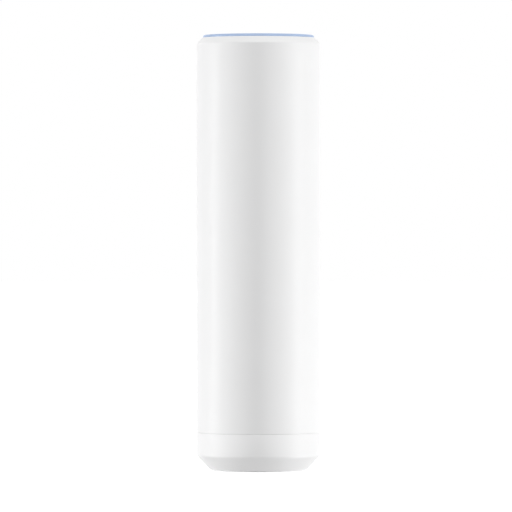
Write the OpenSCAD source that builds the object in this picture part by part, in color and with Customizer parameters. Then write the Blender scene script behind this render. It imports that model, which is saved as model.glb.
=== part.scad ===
// Tall cylindrical mesh wifi node with a light ring on top and a twist-off base.
// Z is up, the origin is the centre of the foot's underside, and the cable leaves at the rear (+Y).

/* [Body] */
// Outside diameter of the housing and the base
body_d = 46.4; // [46.4:0.2:49]
// Height from the table to the top of the light ring
total_h = 164; // [162:1:186]
// Wall thickness of the housing and the base
wall = 1.8; // [1.6:0.1:1.8]
// Radial width of the shoulder round the top of the housing
shoulder_w = 2.2; // [2:0.1:2.4]
// Height of the shoulder's bevel
shoulder_h = 2.25; // [2:0.05:2.8]

/* [Base] */
// Height of the joint line between the base and the housing
seam_z = 14.35; // [13.6:0.05:14.6]
// Width of the open joint line
seam_gap = 0.1; // [0.1:0.05:0.4]
// Radial width of the chamfer round the bottom
chamfer_w = 4.8; // [4.6:0.1:5.4]
// Height of the chamfer round the bottom
chamfer_h = 5.1; // [5:0.1:5.6]
// Distance between the two wall screw holes
wall_screw_spacing = 25; // [25:0.5:26]

/* [Twist thread] */
// Rise of the housing in one full turn
thread_lead = 36; // [30:1:40]
// Number of thread starts round the spigot
thread_starts = 4; // [3:1:4]
// Width of each thread rib, in degrees
thread_rib_deg = 12; // [10:1:14]

/* [Light ring] */
// Height of the light ring above the housing's shoulder
ring_proud = 1; // [0.6:0.1:1.2]
// Width of the light ring's top face
ring_w = 2; // [1.6:0.1:2.2]

/* [Inside] */
// Number of light-emitting diodes under the ring
led_count = 12; // [8:1:16]
// Number of cooling fins on the heatsink
fin_count = 7; // [5:2:7]

/* [Hidden] */
$fn = 96;
eps = 0.01;
clear = 0.05;            // assembly clearance between separate pieces
screw_hole_r = 1.05;     // hole for a small machine screw, clear of its shank
screw_shank_r = 1;
screw_head_r = 1.9;
screw_head_h = 1.3;
small_head_r = 1.6;      // heads of the light board's, main board's and heatsink's screws

// Housing
body_r = body_d / 2;
inner_r = body_r - wall;
housing_bottom = seam_z + seam_gap / 2;
housing_top = total_h - ring_proud;
lip_r = body_r - shoulder_w;          // inside of the housing's top lip
shoulder_flat = 0.4;                  // flat rim between the shoulder's bevel and the light ring
lip_z = housing_top - 4.55;           // ledge that holds the light ring's flange
edge_bevel = 0.25;

// Two ribs down the inside of the housing stop the plate and the light ring from turning.
guide_angles = [0, 180];
guide_w = 2.4;
guide_r = inner_r - 0.5;
guide_play = 0.1;

// Light ring and top cap
ring_r = lip_r - clear;
ring_inner_r = ring_r - ring_w;
ring_base_z = lip_z - 1.05;
cap_ledge_z = lip_z + 2.6;
cap_r = ring_inner_r - clear;
cap_top = total_h - 0.2;
cap_edge_r = ring_inner_r - 1.3;      // inside of the ledge that the cap sits on
clip_angles = [30, 150, 270];

// Light board and the chassis's top platform
led_board_z = lip_z - 3.45;
led_board_t = 1.2;
platform_t = 2.6;
platform_z = led_board_z - platform_t;
platform_hole_r = 13;
platform_r = guide_r - 0.05;
led_r = ring_r - 1.1;
led_screw_x = 15.4;

// Base
foot_drop = 0.5;                      // how far the rubber foot stands below the base
base_top = seam_z - seam_gap / 2;
floor_z = 6.2;
floor_t = 2;
floor_top = floor_z + floor_t;
bottom_r = body_r - chamfer_w;        // outer edge of the base's underside
rim_w = 3.6;                          // width of the base's bottom rim
foot_outer_r = bottom_r - 0.5;
foot_inner_r = bottom_r - 2;
foot_seat_z = 1.3;
spigot_r = 19.3;
spigot_inner_r = 17.7;
spigot_top = 24;
grommet_hole_r = 7.2;
grommet_bore_r = 2.8;
wall_screw_r = 2.1;
pillar_r = 3.6;                       // pillar round each wall screw
notch_r = 3.4;                        // half the width of the rear cable notch
notch_arch_z = 2.6;
reset_xy = [9.5, 8.6];

// Thread
rib_outer_r = spigot_r + 1;
rib_z0 = 18;
rib_z1 = 23;
collar_inner_r = spigot_r + 0.2;
collar_outer_r = inner_r - clear;
collar_z0 = 17.6;
collar_z1 = 23.6;
groove_r = rib_outer_r + 0.2;
groove_play_deg = 1.4;

// Port plate
plate_z = 25;
plate_t = 2.4;
plate_top = plate_z + plate_t;
plate_r = inner_r - clear;
seal_inner_r = 17.9;
seal_outer_r = 19.2;
plate_screw_xy = [15.2, 2.2];         // screws into the chassis's feet, mirrored in X
reset_plunger_r = 1.8;

// Main board, with the jack on its front and the heatsink on its rear
board_w = 34;
board_y = 5.2;
board_t = 1.6;
board_rear_y = board_y + board_t;
board_z0 = 30;
board_z1 = platform_z - 4;
jack_w = 16;
jack_d = 13.5;
jack_h = 21.2;
jack_z = plate_top + 0.9;
jack_y = board_y - jack_d;            // front face of the jack
port_y = -0.1;                        // centre of the plug opening
port_w = 11.9;
port_d = 7;
port_depth = 14;
window_y0 = -7;
window_y1 = 4.4;
rail_x = 14;
rail_t = 4.4;
envelope_r = 19.3;                    // what the chassis rails, board and heatsink stay inside
board_screw_x = board_w / 2 - 1.6;
board_screw_z = [46, 104];
sink_z0 = 52;
sink_z1 = 100;
sink_w = 28;
fin_span = 20.4;                      // between the centres of the two outer fins
pad_w = 18;
pad_z0 = 62;
pad_z1 = 94;
pad_t = 0.6;
sink_y = board_rear_y + pad_t;
sink_plate_t = 2.5;
sink_screw_x = 12;
sink_screw_z = [54.6, 97.4];
fin_t = 1.2;

// Antennas
band_z = 106;                         // shelf of the chassis that carries the antenna sleeve
band_t = 2;
sleeve_r = inner_r - 0.9;
sleeve_t = 0.8;
sleeve_z0 = band_z + band_t;
sleeve_z1 = platform_z - 1;
patch_t = 0.3;
patch_5g_angles = [40, 140, 220, 320];
patch_2g_angles = [90, 270];
patch_z1 = sleeve_z1 - 5.4;
patch_5g_h = 15;
patch_2g_h = 24;
feed_z = sleeve_z0 + 8;
socket_z = feed_z + 5;
socket_x = 12;
coax_r = 0.57;

// ---- Shared shapes ----

// Plain ring from z0 to z1.
module ring(outer, inner, z0, z1) {
    translate([0, 0, z0]) difference() {
        cylinder(r = outer, h = z1 - z0);
        translate([0, 0, -1]) cylinder(r = inner, h = z1 - z0 + 2);
    }
}

// Part of a ring, centred on an angle.
module ring_sector(outer, inner, z0, z1, at, wide) {
    rotate([0, 0, at - wide / 2]) translate([0, 0, z0]) rotate_extrude(angle = wide)
        translate([inner, 0]) square([outer - inner, z1 - z0]);
}

// Box given by its lowest and highest corners.
module box(low, high) {
    translate(low) cube(high - low);
}

// Machine screw with its head at the origin and its shank along +Z.
module screw(length, head_r = screw_head_r) {
    difference() {
        cylinder(r = head_r, h = screw_head_h);
        for (turn = [0, 90]) rotate([0, 0, turn])
            translate([-head_r * 0.62, -0.22, -1]) cube([head_r * 1.24, 0.44, 1.7]);
    }
    translate([0, 0, screw_head_h - eps]) cylinder(r = screw_shank_r, h = length);
}

// Outline of a ring sector, for the helical ribs and grooves.
function arc_points(r, from, to, steps) =
    [for (i = [0:steps]) r * [cos(from + (to - from) * i / steps), sin(from + (to - from) * i / steps)]];

module sector_outline(outer, inner, wide) {
    polygon(concat(arc_points(outer, -wide / 2, wide / 2, 3), arc_points(inner, wide / 2, -wide / 2, 3)));
}

// Helical bars round Z. Their angle depends only on the height, so ribs and grooves stay in step.
module helical_bars(outer, inner, z0, z1, wide) {
    turn = (z1 - z0) * 360 / thread_lead;
    for (i = [0:thread_starts - 1])
        rotate([0, 0, i * 360 / thread_starts + z0 * 360 / thread_lead]) translate([0, 0, z0])
            linear_extrude(height = z1 - z0, twist = -turn, slices = 12, segments = 8)
                sector_outline(outer, inner, wide);
}

// Thin eight-sided wire along a list of points, with a ball at each bend.
module wire(points, r) {
    for (i = [0:len(points) - 2]) {
        step = points[i + 1] - points[i];
        length = norm(step);
        translate(points[i])
            rotate([0, acos(step.z / length), atan2(step.y, step.x)])
                cylinder(r = r, h = length, $fn = 8);
        if (i > 0) translate(points[i]) sphere(r = r + 0.05, $fn = 16);
    }
}

function polar(r, at, z) = [r * cos(at), r * sin(at), z];

// ---- Base assembly ----

module base_profile() {
    chamfer_top = foot_drop + chamfer_h;
    recess_r = bottom_r - rim_w;
    // the recess wall runs parallel to the chamfer
    recess_top_r = recess_r + (floor_z - foot_drop) * chamfer_w / chamfer_h;
    difference() {
        polygon([
            [recess_r, foot_drop], [bottom_r, foot_drop], [body_r, chamfer_top],
            [body_r, base_top - edge_bevel], [body_r - edge_bevel, base_top], [inner_r, base_top],
            [inner_r, floor_top], [spigot_r, floor_top], [spigot_r, spigot_top - 0.4],
            [spigot_r - 0.4, spigot_top], [spigot_inner_r, spigot_top], [spigot_inner_r, floor_top],
            [grommet_hole_r, floor_top], [grommet_hole_r, floor_z], [recess_top_r, floor_z],
        ]);
        translate([foot_inner_r, 0]) square([foot_outer_r - foot_inner_r, foot_seat_z]);
    }
}

// Arched opening through the rear of the rim, for the cable.
module cable_notch() {
    translate([0, body_r + 1, 0]) rotate([90, 0, 0]) linear_extrude(height = body_r - 8) {
        translate([0, notch_arch_z]) circle(r = notch_r);
        translate([-notch_r, -1]) square([2 * notch_r, notch_arch_z + 1]);
    }
}

module base() {
    color("white") difference() {
        union() {
            rotate_extrude() base_profile();
            helical_bars(rib_outer_r, spigot_r - 0.6, rib_z0, rib_z1, thread_rib_deg);
            for (side = [-1, 1]) translate([side * wall_screw_spacing / 2, 0, foot_drop])
                cylinder(r = pillar_r, h = floor_z - foot_drop + 1);
        }
        cable_notch();
        for (side = [-1, 1]) translate([side * wall_screw_spacing / 2, 0, foot_drop - 1])
            cylinder(r = wall_screw_r, h = floor_top + 2);
        translate([reset_xy.x, reset_xy.y, floor_z - 1]) cylinder(r = 1.3, h = floor_t + 2);
    }
}

module foot_ring() {
    color("gainsboro") difference() {
        ring(foot_outer_r - clear, foot_inner_r + clear, 0, foot_seat_z);
        cable_notch();
    }
}

// Grooved rubber bush with a slit, so that it can be opened round a cable.
module cable_grommet() {
    flange_r = grommet_hole_r + 1.2;
    color("gray") difference() {
        union() {
            translate([0, 0, floor_z - 1]) cylinder(r = flange_r, h = 1);
            translate([0, 0, floor_z - eps]) cylinder(r = grommet_hole_r - clear, h = floor_t + 2 * eps);
            translate([0, 0, floor_top]) cylinder(r = flange_r, h = 1);
        }
        translate([0, 0, floor_z - 2]) cylinder(r = grommet_bore_r, h = floor_t + 4);
        box([-0.2, 1, floor_z - 2], [0.2, flange_r + 1, floor_top + 2]);
    }
}

module base_seal() {
    color("dimgray") ring(seal_outer_r, seal_inner_r, spigot_top + clear, plate_z - clear);
}

// ---- Housing, light ring and cap ----

module housing_profile() {
    polygon([
        [inner_r, housing_bottom], [body_r - edge_bevel, housing_bottom],
        [body_r, housing_bottom + edge_bevel], [body_r, housing_top - shoulder_h],
        [lip_r + shoulder_flat, housing_top], [lip_r, housing_top],
        [lip_r, lip_z], [inner_r, lip_z],
    ]);
}

// Bars where the guide ribs stand. A little play turns them into the notches that run on the ribs.
module guide_bars(z0, z1, play = 0) {
    for (at = guide_angles) rotate([0, 0, at])
        box([guide_r - play, -guide_w / 2 - play, z0], [inner_r + 0.3, guide_w / 2 + play, z1]);
}

module housing() {
    color("white") {
        rotate_extrude() housing_profile();
        guide_bars(plate_z, lip_z + eps);
    }
}

module light_ring() {
    round_r = 0.7;
    foot_z = led_board_z + led_board_t + clear;
    color("lightskyblue") difference() {
        rotate_extrude() {
            polygon([
                [cap_edge_r, foot_z], [cap_edge_r + 0.8, foot_z], [cap_edge_r + 0.8, ring_base_z],
                [inner_r - clear, ring_base_z], [inner_r - clear, lip_z - clear],
                [ring_r, lip_z - clear], [ring_r, total_h - round_r],
                [ring_r - round_r, total_h - round_r], [ring_r - round_r, total_h],
                [ring_inner_r, total_h], [ring_inner_r, cap_ledge_z], [cap_edge_r, cap_ledge_z],
            ]);
            intersection() {
                translate([ring_r - round_r, total_h - round_r]) circle(r = round_r);
                translate([ring_r - round_r, total_h - round_r]) square(round_r);
            }
        }
        guide_bars(ring_base_z - 1, lip_z, guide_play);
    }
}

// Disc with a stiffening rim and three snap legs that hook under the chassis's platform.
module top_cap() {
    leg_r = platform_hole_r - 0.3;
    color("white") {
        rotate_extrude() polygon([
            [0, cap_top - 1.6], [cap_edge_r - 2, cap_top - 1.6], [cap_edge_r - 2, cap_ledge_z + clear],
            [cap_r, cap_ledge_z + clear], [cap_r, cap_top - 0.3], [cap_r - 0.3, cap_top], [0, cap_top],
        ]);
        for (at = clip_angles) rotate([0, 0, at - 9]) rotate_extrude(angle = 18) polygon([
            [leg_r - 1.4, cap_top - 1], [leg_r - 1.4, platform_z - 2.2], [leg_r - 0.4, platform_z - 2.2],
            [leg_r + 1, platform_z - 1], [leg_r + 1, platform_z - clear], [leg_r, platform_z - clear],
            [leg_r, cap_top - 1],
        ]);
    }
}

// ---- Light board ----

module led_board() {
    color("seagreen") difference() {
        ring(inner_r - 0.6, platform_hole_r + 0.4, led_board_z, led_board_z + led_board_t);
        for (side = [-1, 1]) translate([side * led_screw_x, 0, led_board_z - 1])
            cylinder(r = screw_hole_r, h = 4);
    }
}

module led_emitters() {
    top = led_board_z + led_board_t;
    color("ivory") for (i = [0:led_count - 1]) rotate([0, 0, (i + 0.5) * 360 / led_count])
        box([led_r - 0.7, -1.4, top], [led_r + 0.7, 1.4, top + 0.7]);
}

module led_board_screws() {
    top = led_board_z + led_board_t;
    color("silver") for (side = [-1, 1])
        translate([side * led_screw_x, 0, top + screw_head_h]) rotate([180, 0, 0]) screw(3, small_head_r);
}

// Flat flex from the light board, over its inner edge and down to the main board.
module led_flex() {
    top = led_board_z + led_board_t;
    low = board_z1 - 4;
    color("orange") {
        box([-3, 11.9, top], [3, 15.5, top + 0.3]);
        box([-3, 11.9, low], [3, 12.2, top + 0.3]);
        box([-3, board_rear_y + 2, low], [3, 12.2, low + 0.3]);
    }
    color("ivory") box([-4, board_rear_y, low - 1], [4, board_rear_y + 2, low + 1]);
}

// ---- Chassis and main board ----

module chassis_rail(side) {
    intersection() {
        box(
            [side > 0 ? rail_x : -rail_x - rail_t, board_y - 4, plate_top],
            [side > 0 ? rail_x + rail_t : -rail_x, board_y, platform_z + eps]
        );
        cylinder(r = envelope_r, h = total_h);
    }
}

module chassis() {
    color("lightgray") difference() {
        union() {
            for (side = [-1, 1]) {
                chassis_rail(side);
                // foot of the rail
                intersection() {
                    translate([side * plate_screw_xy.x, plate_screw_xy.y, plate_top])
                        cylinder(r = 3, h = 9);
                    cylinder(r = envelope_r, h = total_h);
                }
            }
            ring(platform_r, platform_hole_r, platform_z, platform_z + platform_t);
            // shelf for the antenna sleeve, open where the heatsink's air passes
            difference() {
                ring(platform_r, envelope_r - 1.7, band_z, band_z + band_t);
                box([-sink_screw_x - 3, 0, band_z - 1], [sink_screw_x + 3, body_r, band_z + 3]);
            }
        }
        // the board lies behind the rails
        box([-board_w / 2 - 0.1, board_y, 0], [board_w / 2 + 0.1, board_rear_y + 0.1, board_z1 + 0.1]);
        for (side = [-1, 1]) {
            translate([side * plate_screw_xy.x, plate_screw_xy.y, plate_top - 1])
                cylinder(r = screw_hole_r, h = 8);
            translate([side * led_screw_x, 0, platform_z - 1]) cylinder(r = screw_hole_r, h = 5);
            for (z = board_screw_z) translate([side * board_screw_x, board_y + 1, z]) rotate([90, 0, 0])
                cylinder(r = screw_hole_r, h = 4);
        }
    }
}

module main_board() {
    color("darkgreen") difference() {
        box([-board_w / 2, board_y, board_z0], [board_w / 2, board_rear_y, board_z1]);
        for (side = [-1, 1]) {
            for (z = board_screw_z) translate([side * board_screw_x, board_rear_y + 1, z]) rotate([90, 0, 0])
                cylinder(r = screw_hole_r, h = 4);
            for (z = sink_screw_z) translate([side * sink_screw_x, board_rear_y + 1, z])
                rotate([90, 0, 0]) cylinder(r = screw_hole_r, h = 4);
        }
    }
}

module board_screws() {
    color("silver") for (side = [-1, 1], z = board_screw_z)
        translate([side * board_screw_x, board_rear_y + screw_head_h, z]) rotate([90, 0, 0])
            screw(4, small_head_r);
}

// Parts that stand on the board's front face, given by centre, width, height and thickness.
module front_part(x, z, w, h, t) {
    box([x - w / 2, board_y - t, z - h / 2], [x + w / 2, board_y, z + h / 2]);
}

module processor() {
    color("dimgray") front_part(0, 90, 14, 14, 1.2);
}

module memory_chips() {
    color("black") {
        front_part(-4.6, 76.5, 7.5, 9, 1);
        front_part(4.6, 76.5, 7.5, 9, 1);
    }
}

// Stamped shielding can, open towards the board.
module shield_can(x, z, w, h) {
    tall = 2.4;
    metal = 0.3;
    difference() {
        front_part(x, z, w, h, tall);
        box(
            [x - w / 2 + metal, board_y - tall + metal, z - h / 2 + metal],
            [x + w / 2 - metal, board_y + 1, z + h / 2 - metal]
        );
    }
}

module shield_processor() {
    color("silver") shield_can(0, 84, 24, 30);
}

module shield_2g() {
    color("silver") shield_can(0, 110, 24, 16);
}

module shield_5g() {
    color("silver") shield_can(0, 133, 24, 18);
}

// Wound core between two flanges.
module poe_transformer() {
    x = -5.2;
    z = 60.5;
    core_h = 12;
    flange_t = 1.8;
    color("goldenrod") front_part(x, z, 10, core_h, 9);
    color("black") for (side = [-1, 1])
        front_part(x, z + side * (core_h + flange_t) / 2, 11.8, flange_t, 7);
}

module lan_magnetics() {
    color("black") front_part(9, 54, 9, 7, 3.4);
}

module capacitors() {
    color("dimgray") for (z = [61.2, 66.2]) translate([5.6, board_y, z]) rotate([90, 0, 0])
        cylinder(r = 2.3, h = 8);
}

module inductors() {
    color("dimgray") for (z = [61.2, 66.2]) front_part(11, z, 4.4, 4.4, 3);
}

module thermal_pad() {
    color("lightblue") box([-pad_w / 2, board_rear_y, pad_z0], [pad_w / 2, sink_y, pad_z1]);
}

module heatsink() {
    pitch = fin_span / (fin_count - 1);
    color("silver") difference() {
        union() {
            box([-sink_w / 2, sink_y, sink_z0], [sink_w / 2, sink_y + sink_plate_t, sink_z1]);
            intersection() {
                for (i = [0:fin_count - 1]) translate([-fin_span / 2 + i * pitch - fin_t / 2, 0, 0])
                    box([0, sink_y + 1, sink_z0 + 6], [fin_t, 20, sink_z1 - 6]);
                cylinder(r = envelope_r, h = total_h);
            }
        }
        for (side = [-1, 1], z = sink_screw_z)
            translate([side * sink_screw_x, sink_y + 6, z]) rotate([90, 0, 0])
                cylinder(r = screw_hole_r, h = 8);
    }
}

module heatsink_screws() {
    color("silver") for (side = [-1, 1], z = sink_screw_z)
        translate([side * sink_screw_x, sink_y + sink_plate_t + screw_head_h, z])
            rotate([90, 0, 0]) screw(sink_plate_t + pad_t + board_t - clear, small_head_r);
}

// ---- Ethernet jack ----

module ethernet_jack() {
    color("silver") difference() {
        box([-jack_w / 2, jack_y, jack_z], [jack_w / 2, board_y, jack_z + jack_h]);
        // room for the plug, and the two steps for its latch
        box(
            [-port_w / 2, port_y - port_d / 2, jack_z - 1],
            [port_w / 2, port_y + port_d / 2, jack_z + port_depth]
        );
        box([-3.3, port_y - port_d / 2 - 1.7, jack_z - 1], [3.3, port_y, jack_z + port_depth]);
        box([-1.8, port_y - port_d / 2 - 3, jack_z - 1], [1.8, port_y, jack_z + port_depth]);
    }
}

// Eight sprung contacts, bent back from the jack's mouth.
module jack_contacts() {
    y0 = port_y + port_d / 2;
    color("gold") for (i = [0:7]) translate([(i - 3.5) * 1.02 - 0.25, 0, 0])
        rotate([90, 0, 90]) linear_extrude(height = 0.5) polygon([
            [y0 - 0.5, jack_z + 1], [y0, jack_z + 1], [y0, jack_z + 2], [y0 - 1.9, jack_z + 10],
            [y0, jack_z + 12.6], [y0, jack_z + 13.4], [y0 - 2.4, jack_z + 10], [y0 - 0.5, jack_z + 2],
        ]);
}

module jack_gasket() {
    color("dimgray") difference() {
        box([-jack_w / 2, jack_y, plate_top], [jack_w / 2, board_y, jack_z]);
        box([-6.7, window_y0, plate_top - 1], [6.7, window_y1, jack_z + 1]);
    }
}

// ---- Reset switch and button ----

module reset_switch() {
    color("black") box(
        [reset_xy.x - 3, board_rear_y, plate_top + 4.6],
        [reset_xy.x + 3, board_rear_y + 3.6, plate_top + 8.6]
    );
    color("silver") translate([reset_xy.x, reset_xy.y, plate_top + 3.8]) cylinder(r = 1, h = 0.8);
}

// Plunger with a flange that keeps it in the plate. It travels up to the switch.
module reset_button() {
    color("tomato") {
        translate([reset_xy.x, reset_xy.y, plate_z + 0.6])
            cylinder(r = reset_plunger_r, h = plate_t - 0.6 + 0.1);
        translate([reset_xy.x, reset_xy.y, plate_top + clear]) cylinder(r = 2.6, h = 0.8);
        translate([reset_xy.x, reset_xy.y, plate_top + 0.8]) cylinder(r = 1, h = 2.1);
    }
}

// ---- Port plate ----

module port_plate() {
    sink = screw_head_h + 0.1;
    color("whitesmoke") difference() {
        translate([0, 0, plate_z]) cylinder(r = plate_r, h = plate_t);
        box([-6.6, window_y0, plate_z - 1], [6.6, window_y1, plate_top + 1]);
        translate([reset_xy.x, reset_xy.y, plate_z - 1]) cylinder(r = reset_plunger_r + 0.15, h = 5);
        for (side = [-1, 1]) translate([side * plate_screw_xy.x, plate_screw_xy.y, plate_z - 1]) {
            cylinder(r = screw_hole_r, h = 5);
            cylinder(r = screw_head_r + 0.1, h = 1 + sink);
        }
        guide_bars(plate_z - 1, plate_top + 1, guide_play);
    }
}

module plate_screws() {
    color("silver") for (side = [-1, 1])
        translate([side * plate_screw_xy.x, plate_screw_xy.y, plate_z + 0.1]) screw(6);
}

// Threaded ring bonded inside the housing's mouth, cut by one groove for each rib of the base.
// Its upper edge holds the port plate.
module thread_collar() {
    color("white") difference() {
        union() {
            ring(collar_outer_r, collar_inner_r, collar_z0, collar_z1);
            ring(collar_outer_r, groove_r + 0.1, collar_z1 - eps, plate_z - clear);
        }
        helical_bars(
            groove_r, collar_inner_r - 1, collar_z0 - 1, collar_z1 + 1, thread_rib_deg + groove_play_deg
        );
    }
}

// ---- Antennas ----

module antenna_sleeve() {
    color("black") difference() {
        ring(sleeve_r, sleeve_r - sleeve_t, sleeve_z0, sleeve_z1);
        // windows behind the gaps between the antennas
        for (at = [5, 65, 115, 175, 245, 295]) rotate([0, 0, at])
            box([sleeve_r - 3, -2.5, sleeve_z0 + 14], [sleeve_r + 3, 2.5, sleeve_z1 - 6]);
        // holes for the feed wires
        for (at = concat(patch_5g_angles, patch_2g_angles)) rotate([0, 0, at])
            translate([sleeve_r - 3, 0, feed_z]) rotate([0, 90, 0]) cylinder(r = 0.7, h = 6);
    }
}

// Stamped patch on the sleeve's outside: a slotted plate with a narrow feed strip below it.
module antenna_patch(at, wide, high) {
    z0 = patch_z1 - high;
    strip_deg = 6;
    cut_deg = wide / 2;
    color("goldenrod") difference() {
        ring_sector(sleeve_r + patch_t, sleeve_r, feed_z - 1, patch_z1, at, wide);
        for (dir = [-1, 1])
            ring_sector(
                sleeve_r + 1, sleeve_r - 1, feed_z - 2, z0, at + dir * (strip_deg + cut_deg) / 2, cut_deg
            );
        rotate([0, 0, at + wide * 0.12])
            box([sleeve_r - 1, -0.5, z0 + 2.5], [sleeve_r + 1, 0.5, patch_z1 + 1]);
    }
}

// Thin coaxial leads, each from an antenna's feed through the sleeve to a plug on the board.
module coax_leads() {
    color("black") for (at = concat(patch_5g_angles, patch_2g_angles)) {
        out = sin(at) < 0 ? -1 : 1;
        x = socket_x * cos(at) / cos(patch_5g_angles[0]);
        y = (out < 0 ? board_y : board_rear_y) + out * (1.3 + coax_r);
        wire([
            polar(sleeve_r - clear, at, feed_z), polar(sleeve_r - 2.8, at, feed_z),
            [x, y, socket_z - 1.8], [x, y, socket_z],
        ], coax_r);
        translate([x, y - out * coax_r, socket_z]) rotate([-out * 90, 0, 0]) cylinder(r = 1.4, h = 1.1);
    }
}

module coax_sockets() {
    color("gold") for (at = concat(patch_5g_angles, patch_2g_angles)) {
        out = sin(at) < 0 ? -1 : 1;
        x = socket_x * cos(at) / cos(patch_5g_angles[0]);
        translate([x, out < 0 ? board_y : board_rear_y, socket_z]) rotate([-out * 90, 0, 0])
            cylinder(r = 1.3, h = 1.25);
    }
}

housing();
top_cap();
light_ring();
led_board();
led_emitters();
led_board_screws();
led_flex();
chassis();
main_board();
board_screws();
processor();
memory_chips();
shield_processor();
shield_2g();
shield_5g();
thermal_pad();
heatsink();
heatsink_screws();
ethernet_jack();
jack_contacts();
jack_gasket();
lan_magnetics();
poe_transformer();
capacitors();
inductors();
reset_switch();
reset_button();
port_plate();
plate_screws();
thread_collar();
base_seal();
base();
foot_ring();
cable_grommet();
antenna_sleeve();
antenna_patch(patch_5g_angles[0], 34, patch_5g_h);  // antenna_5g_1
antenna_patch(patch_5g_angles[1], 34, patch_5g_h);  // antenna_5g_2
antenna_patch(patch_5g_angles[2], 34, patch_5g_h);  // antenna_5g_3
antenna_patch(patch_5g_angles[3], 34, patch_5g_h);  // antenna_5g_4
antenna_patch(patch_2g_angles[0], 44, patch_2g_h);  // antenna_2g_1
antenna_patch(patch_2g_angles[1], 44, patch_2g_h);  // antenna_2g_2
coax_leads();
coax_sockets();
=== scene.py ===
"""Looks of a tall round mesh wifi node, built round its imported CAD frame.

The axes are the frame's own: Z up, the cable leaves to +Y, the camera stands on -Y.
Shapes are worked out in millimetres, and become metres where a mesh is made. Camera, materials
and lights are in metres. Places come from the CAD nodes' boxes. The sizes below are features
that no box gives.
"""

import math
import random

import bmesh
import bpy
from mathutils import Matrix, Vector


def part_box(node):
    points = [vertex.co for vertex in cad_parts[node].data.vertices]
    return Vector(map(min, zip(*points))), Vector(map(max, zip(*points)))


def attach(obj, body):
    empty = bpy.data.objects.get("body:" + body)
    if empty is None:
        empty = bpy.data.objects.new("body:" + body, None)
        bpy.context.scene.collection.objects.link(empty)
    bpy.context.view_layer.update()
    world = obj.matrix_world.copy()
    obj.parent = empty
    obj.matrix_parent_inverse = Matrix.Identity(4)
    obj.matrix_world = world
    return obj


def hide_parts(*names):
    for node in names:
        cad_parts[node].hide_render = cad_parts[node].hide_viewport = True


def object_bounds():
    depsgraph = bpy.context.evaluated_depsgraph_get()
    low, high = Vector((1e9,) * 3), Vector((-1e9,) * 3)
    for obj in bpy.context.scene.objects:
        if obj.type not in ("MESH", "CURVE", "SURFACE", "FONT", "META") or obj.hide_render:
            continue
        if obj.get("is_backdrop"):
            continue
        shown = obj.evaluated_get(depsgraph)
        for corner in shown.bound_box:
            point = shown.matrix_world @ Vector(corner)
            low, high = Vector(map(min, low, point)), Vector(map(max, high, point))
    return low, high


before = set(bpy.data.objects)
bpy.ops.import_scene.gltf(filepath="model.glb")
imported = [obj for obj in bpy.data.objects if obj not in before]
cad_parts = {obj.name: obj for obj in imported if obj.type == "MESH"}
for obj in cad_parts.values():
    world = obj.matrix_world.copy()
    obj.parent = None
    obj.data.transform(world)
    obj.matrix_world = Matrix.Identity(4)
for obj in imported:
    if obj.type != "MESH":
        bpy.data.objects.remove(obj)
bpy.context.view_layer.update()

MM = 0.001
TAU = 2 * math.pi
scene = bpy.context.scene

# ---- Camera ----

CAMERA_LENS = 363.6
CAMERA_PLACE = (-0.000925, -1.95, 0.094)
CAMERA_TILT = -0.389

camera_data = bpy.data.cameras.new("camera")
camera_data.sensor_width = 36
camera_data.lens = CAMERA_LENS
camera = bpy.data.objects.new("camera", camera_data)
camera.location = CAMERA_PLACE
camera.rotation_euler = (math.radians(90 + CAMERA_TILT), 0, 0)
scene.collection.objects.link(camera)
scene.camera = camera

# ---- Outlines ----


def rounded(corners, steps=4):
    """A closed outline from corners (x, y, fillet radius)."""
    points = []
    for i, (x, y, fillet) in enumerate(corners):
        here = Vector((x, y))
        if not fillet:
            points.append(here)
            continue
        before, after = corners[i - 1], corners[(i + 1) % len(corners)]
        back, on = Vector(before[:2]) - here, Vector(after[:2]) - here
        half = back.angle(on) / 2
        room = min(
            max(side.length * 0.48, side.length - next_fillet)
            for side, next_fillet in ((back, before[2]), (on, after[2]))
        )
        reach = min(fillet / math.tan(half), room)
        radius = reach * math.tan(half)
        back.normalize()
        on.normalize()
        centre = here + (back + on).normalized() * (radius / math.sin(half))
        first = here + back * reach - centre
        turn = first.angle_signed(here + on * reach - centre)
        for k in range(steps + 1):
            spoke = first.copy()
            spoke.rotate(Matrix.Rotation(-turn * k / steps, 2))
            points.append(centre + spoke)
    return points


def ribbon(path, thick):
    """The closed outline of a strip of that thickness along an open path."""
    path = [Vector(p) for p in path]
    sides = ([], [])
    for i, here in enumerate(path):
        back = (here - path[i - 1]).normalized() if i else None
        on = (path[i + 1] - here).normalized() if i + 1 < len(path) else None
        along = ((back or on) + (on or back)).normalized()
        across = Vector((-along.y, along.x))
        stretch = 1 / max(0.5, across.dot(Vector((-(on or back).y, (on or back).x))))
        for side, sign in zip(sides, (1, -1)):
            side.append(here + across * (sign * stretch * thick / 2))
    return sides[0] + sides[1][::-1]


# ---- Meshes ----


def lathe(outline, segments=192, start=0.0, sweep=TAU):
    """A solid of revolution about Z. Points on the axis become a pole."""
    mesh = bmesh.new()
    full = sweep > TAU - 0.001
    columns = segments if full else segments + 1
    rings = []
    for point in outline:
        r, z = point * MM
        if r < 0.0001 * MM:
            rings.append([mesh.verts.new((0, 0, z))] * columns)
            continue
        angles = [start + sweep * c / segments for c in range(columns)]
        rings.append([mesh.verts.new((r * math.cos(a), r * math.sin(a), z)) for a in angles])
    for i, low in enumerate(rings):
        high = rings[(i + 1) % len(rings)]
        for c in range(segments):
            d = (c + 1) % columns
            corners = list(dict.fromkeys([low[c], low[d], high[d], high[c]]))
            if len(corners) > 2:
                mesh.faces.new(corners)
    if not full:
        mesh.faces.new(list(dict.fromkeys(ring[0] for ring in rings)))
        mesh.faces.new(list(dict.fromkeys(ring[-1] for ring in rings))[::-1])
    bmesh.ops.recalc_face_normals(mesh, faces=mesh.faces)
    return mesh


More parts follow.
